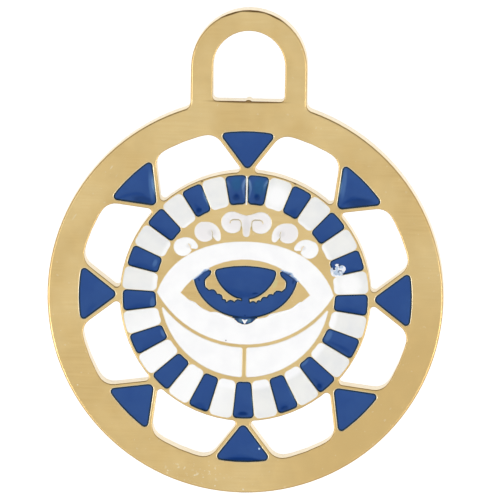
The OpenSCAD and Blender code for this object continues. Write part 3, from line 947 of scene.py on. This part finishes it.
@dataclass
class Piece:
    """A piece of the pendant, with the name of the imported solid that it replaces, or else its own."""

    name: str
    look: Look

    def dress(self, piece: Thing, materials: dict[Look, Material]) -> None:
        """Gives the built piece its material and its place in the frame.

        Args:
            piece: The built piece.
            materials: Material of each look.
        """
        piece.data.materials.append(materials[self.look])
        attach(piece, "root")
        if self.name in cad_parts:
            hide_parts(self.name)


@dataclass
class Plate(Piece):
    """The metal plate with its bail, rounded along every edge."""

    name: str = "plate"
    look: Look = Look.BRASS
    rim_round: float = 0.16
    window_round: float = 0.09
    back_round: float = 0.12
    ray_round: float = 0.06
    cell_round: float = 0.04
    ray_area: float = 5.0
    cell_open: float = 0.02
    cell_floor: float = 1.5
    steps: int = 5
    same_area: float = 0.01
    same_place: float = 0.2

    def _is_through(self, loop: Array, back: Loops) -> bool:
        """Tells whether an outline of the face is one of the back too.

        Args:
            loop: The outline.
            back: Outlines of the back.

        Returns:
            Whether the wall runs through the plate.
        """
        size = abs(Outline.area(loop))
        return any(
            abs(abs(Outline.area(other)) - size) < self.same_area * size
            and np.hypot(*(other.mean(0) - loop.mean(0))) < self.same_place
            for other in back
        )

    def _edge(self, loop: Array, radius: float, top: float) -> tuple[list[Array], list[float]]:
        """Draws the rows of a rounded upper edge.

        Args:
            loop: The wall's outline.
            radius: Radius of the edge.
            top: Height of the face.

        Returns:
            The rows from the face to the wall, and their heights.
        """
        turns = [math.pi / 2 * i / self.steps for i in range(self.steps + 1)]
        rows = [Outline.moved(loop, radius * (1 - math.sin(t))) for t in turns]
        return rows, [top - radius * (1 - math.cos(t)) for t in turns]

    def build(self) -> Thing:
        """Builds the plate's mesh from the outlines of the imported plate.

        Returns:
            The plate.
        """
        loops = Outline.of_node(self.name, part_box(self.name)[1].z / MM)
        back = Outline.of_node(self.name, 0.0)
        maker = MeshMaker("plate_metal")
        face, below, floors = [], [], []
        outer = max(loops, key=Outline.area)
        for loop in loops:
            through = self._is_through(loop, back)
            if through:
                radius = self.rim_round if loop is outer else self.window_round
                rows, heights = self._edge(loop, radius, FACE)
                low_rows, low_heights = self._edge(loop, self.back_round, self.back_round)
                rows += low_rows[::-1]
                heights += [self.back_round - h for h in low_heights[::-1]]
                below.append(low_rows[0])
            else:
                is_outside = Outline.outside_eye(loop)
                is_ray = is_outside and abs(Outline.area(loop)) > self.ray_area
                wall = Outline.moved(loop, self.cell_open if is_outside else 0.0)
                rows, heights = self._edge(wall, self.ray_round if is_ray else self.cell_round, FACE)
                rows.append(wall)
                heights.append(self.cell_floor)
                floors.append(wall[::-1])
            face.append(rows[0])
            maker.wall(rows, heights, float(through))
        maker.surface(*filled(face), FACE)
        maker.surface(*filled(below), 0.0, face_down=True)
        maker.surface(*filled(floors), self.cell_floor)
        return maker.make(flat_stays_flat=True)


@dataclass
class EnamelField(Piece):
    """One field of enamel: a level body with a skin that bows in or out."""

    brim: float
    bow: float
    spread: float = 0.016
    cell_open: float = 0.02
    step: float = 0.11
    rings: tuple[float, ...] = (0.035, 0.09, 0.16, 0.25)
    ring_clear: float = 0.97
    grid: float = 0.16
    grid_rows: float = 0.87

    def _within(self, loops: Loops) -> list[Array]:
        """Spreads points over the field: a grid in its middle, and rings along its edge.

        Args:
            loops: Outlines of the field.

        Returns:
            The points.
        """
        clear = self.rings[-1] + self.grid / 2
        within = [Outline.covered(loops, self.grid, self.grid * self.grid_rows, self.grid / 2, clear)]
        for reach in self.rings:
            for ring in (Outline.moved(loop, reach) for loop in loops):
                far = Outline.distance(ring, loops) > self.ring_clear * reach
                within.append(ring[Outline.inside(ring, loops) & far])
        return within

    def build(self) -> Thing:
        """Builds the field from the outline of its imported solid.

        Returns:
            The field.
        """
        low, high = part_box(self.name)
        solid = Outline.of_node(self.name, high.z / MM)
        body = [Outline.spaced(loop, self.step) for loop in solid]
        spread = self.spread + (self.cell_open if Outline.outside_eye(body[0]) else 0.0)
        loops = [Outline.moved(loop, -spread) for loop in body]
        corners, triangles = filled(loops, self._within(loops))
        edge = Outline.distance(corners, loops)
        height = self.brim + self.bow * skin(corners, triangles, edge < ON_EDGE)
        maker = MeshMaker("enamel_" + self.name)
        maker.surface(corners, triangles, height, edge)
        floor = low.z / MM
        for loop, core in zip(loops, body):
            maker.wall([loop, core, core], [self.brim, self.brim - spread, floor])
        maker.surface(*filled(body), floor, face_down=True)
        return maker.make(50.0)


@dataclass
class Run(Piece):
    """Thin run of enamel over the metal beside a field, as a strip between two lines."""

    upper: Points
    lower: Points
    rows: Marks
    parts: int = 8

    def build(self) -> Thing:
        """Builds the strip.

        Returns:
            The run.
        """
        upper = Outline.curved(self.upper, self.parts)
        lower = Outline.curved(self.lower, self.parts)
        shares, heights, edges = zip(*self.rows)
        maker = MeshMaker(self.name)
        maker.wall([upper + (lower - upper) * share for share in shares], heights, edges, closed=False)
        return maker.make()


@dataclass
class Drop(Piece):
    """Drop of enamel that lies over its surroundings, with a closed outline."""

    rim: Points
    brim: float
    bow: float
    over: str = ""
    over_brim: float = 2.09
    over_width: float = 0.22
    rim_depth: float = 0.2
    foot: float = 0.03
    parts: int = 4
    grid: float = 0.05
    clear: float = 0.03

    def _ground(self, points: Array) -> Array:
        """Gives the height of what lies under the drop.

        Args:
            points: Points in the plane of the face.

        Returns:
            The height at each point.
        """
        if not self.over:
            return np.full(len(points), self.brim)
        loops = Outline.of_node(self.over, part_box(self.over)[1].z / MM)
        inward = Outline.distance(points, loops) * np.where(Outline.inside(points, loops), 1, -1)
        share = np.clip(inward / self.over_width, 0, 1)
        return self.brim + (self.over_brim - self.brim) * share * share * (3 - 2 * share)

    def build(self) -> Thing:
        """Builds the drop.

        Returns:
            The drop.
        """
        loop = Outline.curved(self.rim, self.parts, True)
        within = Outline.covered([loop], self.grid, self.grid, 0.0, self.clear)
        corners, triangles = filled([loop], [within])
        edge = Outline.distance(corners, [loop])
        rise = np.sqrt(skin(corners, triangles, edge < ON_EDGE))
        maker = MeshMaker(self.name)
        height = self._ground(corners) + self.bow * rise
        maker.surface(corners, triangles, height, edge + self.rim_depth)
        ground = self._ground(loop)
        bottom = float(ground.min()) - self.foot
        maker.wall([loop, loop], [ground, bottom], self.rim_depth)
        maker.surface(*filled([loop]), bottom, self.rim_depth, face_down=True)
        return maker.make()


@dataclass
class EnamelWork:
    """All the enamel of the pendant: the fields, and what ran or splashed beside them."""

    blue_brim: float = 2.13
    white_brim: float = 2.172
    white_spread: float = 0.078
    white_bow: float = 0.015
    shallow: float = -0.07
    block_bows: dict[int, float] = field(default_factory=lambda: {
        17: -0.22, 18: -0.22, 20: -0.14, 15: -0.12, 7: -0.13, 5: -0.13, 3: -0.14, 1: -0.12, 32: -0.1,
    })
    ray_bows: tuple[float, ...] = (-0.06, -0.2, -0.13, -0.07, -0.1, -0.08, -0.06, -0.2)
    ground_arc: Range = (5.476, 7.206)
    run_overlap: float = 0.07

    def fields(self) -> list[EnamelField]:
        """Lists the fields with their enamel and their bow.

        Returns:
            The fields.
        """
        blue, white = Look.BLUE, Look.WHITE
        count = sum(name.startswith("ring_block_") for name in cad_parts)
        fields = [
            EnamelField(f"ray_{i}", blue, self.blue_brim, bow) for i, bow in enumerate(self.ray_bows, 1)
        ]
        for i in range(1, count + 1):
            name = f"ring_block_{i:02d}"
            if min(i - 1, count + 1 - i) % 2 == 0:
                bow = self.block_bows.get(i, self.shallow)
                fields.append(EnamelField(name, blue, self.blue_brim, bow))
            else:
                fields.append(EnamelField(name, white, self.white_brim, self.white_bow, self.white_spread))
        fields += [
            EnamelField("iris", blue, self.blue_brim, -0.12),
            EnamelField(
                "tear", blue, self.blue_brim + 0.02, -0.03, step=0.07, rings=(0.03, 0.07), grid=0.08,
            ),
            EnamelField("eye_white", white, self.white_brim, 0.02, 0.045, step=0.16, grid=0.25),
        ]
        for name, bow, spread in (
            ("lid_left", self.white_bow, 0.03),
            ("lid_right", self.white_bow, 0.03),
            ("crest_middle", 0.02, 0.03),
            ("crest_left_inner", 0.02, 0.045),
            ("crest_right_inner", 0.02, 0.045),
            ("crest_left_outer", 0.02, 0.045),
            ("crest_right_outer", 0.02, 0.045),
        ):
            fields.append(EnamelField(name, white, self.white_brim, bow, spread))
        return fields

    def _lower_edge(self, stations: Points) -> tuple[list, list]:
        """Draws the two lines of a run along the lower edge of the ground round the iris.

        Args:
            stations: Place across and reach into the ground at each station.

        Returns:
            The line on the ground, and the line over the white.
        """
        centre, radius = self.ground_arc
        lines: tuple[list, list] = ([], [])
        for x, reach in stations:
            y = -math.sqrt(radius * radius - x * x)
            for line, r in zip(lines, (radius - reach, radius + self.run_overlap)):
                line.append((x * r / radius, centre + y * r / radius))
        return lines

    def spills(self) -> list[Run | Drop]:
        """Lists the runs and drops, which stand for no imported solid.

        Returns:
            The runs and drops.
        """
        # Each row of a run: its share of the way between the two lines, its height and its edge distance
        over_arm = (
            (0.0, 2.150, 0.0), (0.15, 2.186, 0.03), (0.32, 2.190, 0.07), (0.5, 2.182, 0.11),
            (0.66, 2.172, 0.15), (0.82, 2.145, 0.2), (1.0, 2.095, 0.25),
        )
        over_metal = (
            (0.0, 2.168, 0.02), (0.2, 2.186, 0.06), (0.5, 2.19, 0.12), (0.8, 2.184, 0.2), (1.0, 2.16, 0.25),
        )
        over_tear = (
            (0.0, 2.1, 0.2), (0.25, 2.168, 0.08), (0.5, 2.178, 0.02), (0.75, 2.172, 0.08), (1.0, 2.12, 0.2),
        )
        over_bar = ((0.0, 2.166, 0.05), (0.25, 2.180, 0.09), (0.75, 2.180, 0.09), (1.0, 2.166, 0.05))
        left = self._lower_edge((
            (-4.3, 0.0), (-4.18, 0.05), (-3.86, 0.14), (-3.54, 0.07), (-3.11, 0.0),
            (-2.68, 0.02), (-2.2, 0.2), (-1.52, 0.14), (-1.0, 0.05),
        ))
        right = self._lower_edge((
            (1.1, 0.0), (1.5, 0.02), (1.78, 0.1), (2.0, 0.19), (2.47, 0.17), (3.0, 0.1), (3.53, 0.0),
            (3.79, 0.065), (4.143, 0.11), (4.35, 0.0),
        ))
        return [
            Run(
                "run_left_arm", Look.RUN,
                ((-4.03, 1.28), (-3.96, 1.37), (-3.72, 1.53), (-3.41, 1.86), (-3.19, 2.06), (-2.87, 2.14),
                 (-2.74, 2.12)),
                ((-3.92, 1.17), (-3.80, 1.22), (-3.58, 1.38), (-3.28, 1.60), (-3.06, 1.76), (-2.82, 1.92),
                 (-2.72, 2.02)),
                over_arm,
            ),
            Run(
                "run_right_arm", Look.RUN,
                ((2.62, 2.12), (2.75, 2.16), (3.14, 2.10), (3.54, 1.95), (3.68, 1.72), (3.90, 1.50),
                 (4.10, 1.34)),
                ((2.60, 2.04), (2.70, 1.96), (3.02, 1.80), (3.36, 1.58), (3.56, 1.42), (3.78, 1.24),
                 (3.94, 1.14)),
                over_arm,
            ),
            Run(
                "run_over_tear", Look.BLUE,
                ((-0.95, -1.50), (-0.5, -1.555), (0.0, -1.575), (0.5, -1.555), (0.95, -1.50)),
                ((-0.95, -1.66), (-0.5, -1.74), (0.0, -1.765), (0.5, -1.74), (0.95, -1.66)),
                over_tear,
            ),
            # Painted highlight: a white strip over the wall between the top pair, in place of the wall's
            # pale highlight
            Run(
                "painted_highlight_between_pair", Look.WHITE,
                ((-0.09, 7.02), (-0.075, 8.1), (-0.09, 9.22)),
                ((0.01, 7.02), (0.025, 8.1), (0.01, 9.22)),
                over_bar,
            ),
            Run("run_lower_left", Look.WHITE, *left, over_metal),
            Run("run_lower_right", Look.WHITE, *right, over_metal),
            # Painted highlight: a white drop on the tear, in place of the highlight on its skin
            Drop(
                "painted_highlight_on_tear", Look.WHITE,
                ((-0.16, -1.86), (-0.01, -2.07), (0.14, -1.86), (0.25, -1.66), (0.13, -1.69),
                 (-0.01, -1.76), (-0.14, -1.70), (-0.29, -1.66)),
                brim=2.14, bow=0.05,
            ),
            Drop(
                "splash_on_block", Look.SPLASH,
                ((6.70, 2.56), (6.84, 2.44), (6.66, 2.33), (6.50, 2.36), (6.40, 2.22), (6.42, 2.02),
                 (6.48, 1.84), (6.62, 1.70), (6.84, 1.66), (7.02, 1.70), (7.20, 1.74), (7.38, 1.86),
                 (7.47, 2.06), (7.57, 2.24), (7.52, 2.44), (7.32, 2.56), (7.06, 2.64), (6.84, 2.65)),
                brim=2.166, bow=0.04, over="ring_block_11",
            ),
        ]


@dataclass
class Studio:
    """Light table, soft side lights, and the dim room above and behind them."""

    floor_half: float = 20000.0
    floor_gap: float = 0.02
    sky: float = 0.80
    horizon: float = 1.2
    low: float = 0.45
    zenith: float = 0.79
    behind: float = 0.05
    camera_way: tuple[float, float, float] = (0.036, 0.128, 0.991)
    camera_dark: tuple[float, float, float] = (0.24, 0.09, 1.0)
    low_band: Range = (0.5, 0.15)
    high_band: Range = (0.8, 0.93)
    below_band: Range = (0.0, 0.25)
    wall_back: Range = (0.48, 0.72)
    wall_top: Range = (0.9, 0.76)
    wall_foot: Range = (0.06, 0.14)
    dark_edge: Range = (1.15, 0.75)
    glow: float = 6.0
    glow_edge: Range = (1.0, 0.1)
    glow_half: tuple[float, float, float] = (0.26, 0.36, 0.26)
    box_lean: float = 45.0
    box_back: float = -22.0
    box_distance: float = 800.0
    box_width: float = 200.0
    box_length: float = 320.0
    box_glow: float = 1.35

    def _floor(self) -> None:
        """Lays the light table under the pendant."""
        half = self.floor_half
        maker = MeshMaker("light_table")
        corners = np.array([(-half, -half), (half, -half), (half, half), (-half, half)])
        maker.surface(corners, np.array([(0, 1, 2), (0, 2, 3)]), -self.floor_gap)
        floor = maker.make()
        floor.data.materials.append(FloorFinish().material())

    def _box_way(self, side: int) -> Vector:
        """Gives the direction of one soft light: side is 1 on the right, -1 on the left."""
        lean, back = math.radians(self.box_lean * side), math.radians(self.box_back)
        return Vector((math.tan(lean), math.tan(back), 1)).normalized()

    def _side_light(self, name: str, side: int) -> None:
        """Hangs one soft light.

        Args:
            name: Name of the light.
            side: 1 on the right, -1 on the left.
        """
        way = self._box_way(side)
        lamp = bpy.data.lights.new(name, "AREA")
        lamp.shape = "RECTANGLE"
        lamp.size = self.box_width * MM
        lamp.size_y = self.box_length * MM
        lamp.energy = self.box_glow * math.pi * lamp.size * lamp.size_y
        holder = bpy.data.objects.new(name, lamp)
        holder.location = way * self.box_distance * MM
        holder.rotation_euler = way.to_track_quat("Z", "Y").to_euler()
        bpy.context.scene.collection.objects.link(holder)

    def _sky(self) -> None:
        """Fills the room with soft light: bright low round the table, dark behind it and at the camera."""
        world = bpy.data.worlds.new("room")
        world.use_nodes = True
        background = world.node_tree.nodes["Background"]
        g = NodeTree(world.node_tree, "Generated")
        up, back = g.part(g.here, "Z"), g.part(g.here, "Y")
        low_light = g.fade(up, *self.low_band, 0.0, self.horizon - self.sky)
        high_light = g.fade(up, *self.high_band, 0.0, self.zenith - self.sky)
        from_boxes = (g.apart(self._box_way(side), [1 / h for h in self.glow_half]) for side in (-1, 1))
        round_boxes = (g.fade(far, *self.glow_edge, 0.0, self.glow) for far in from_boxes)
        light = g.math("ADD", self.sky, low_light, high_light, *round_boxes)
        below = g.fade(up, *self.below_band, self.low, 1.0)
        sides = g.math("MULTIPLY", g.fade(up, *self.wall_top), g.fade(up, *self.wall_foot))
        wall = g.math("MULTIPLY", g.fade(back, *self.wall_back), sides)
        camera = g.fade(g.apart(self.camera_way, [1 / h for h in self.camera_dark]), *self.dark_edge)
        share = g.fade(g.math("MAXIMUM", wall, camera), 0.0, 1.0, 1.0, self.behind)
        g.feed(background.inputs["Strength"], g.math("MULTIPLY", light, below, share))
        g.feed(background.inputs["Color"], (1.0, 1.0, 1.0))
        bpy.context.scene.world = world

    def build(self) -> None:
        """Sets up the room and how its light is shown."""
        self._floor()
        self._side_light("left_softbox", -1)
        self._side_light("right_softbox", 1)
        self._sky()
        view = bpy.context.scene.view_settings
        view.view_transform = "Standard"
        view.look = "None"
        view.exposure = 0.0
        view.gamma = 1.0


@dataclass
class Lens:
    """The camera, tilted a little towards the bail."""

    aim: tuple[float, float, float] = (0.303, 3.588, 2.2)
    tilt: float = 7.65
    towards: Range = (0.27, 0.963)
    roll: float = 0.97
    distance: float = 1000.0
    view_width: float = 37.83
    nearest: float = 10.0

    def build(self) -> None:
        """Places the camera."""
        tilt, roll = math.radians(self.tilt), math.radians(self.roll)
        across, up = self.towards
        back = Vector((math.sin(tilt) * across, math.sin(tilt) * up, math.cos(tilt))).normalized()
        right = Vector((-math.sin(roll), math.cos(roll), 0)).cross(back).normalized()
        data = bpy.data.cameras.new("camera")
        data.lens = data.sensor_width * self.distance / self.view_width
        data.clip_start = self.nearest * MM
        camera = bpy.data.objects.new("camera", data)
        turn = Matrix((right, back.cross(right), back)).transposed().to_4x4()
        camera.matrix_world = Matrix.Translation((Vector(self.aim) + back * self.distance) * MM) @ turn
        bpy.context.scene.collection.objects.link(camera)
        bpy.context.scene.camera = camera


def main() -> None:
    """Builds the pendant and its studio, and reports each piece."""
    logging.basicConfig(level=logging.INFO, format="%(message)s")
    materials = {look: look.value.material() for look in Look}
    work = EnamelWork()
    for part in (Plate(), *work.fields(), *work.spills()):
        piece = part.build()
        part.dress(piece, materials)
        LOG.info("%s: %d faces", piece.name, len(piece.data.polygons))
    Studio().build()
    Lens().build()


if __name__ == "__main__":
    main()
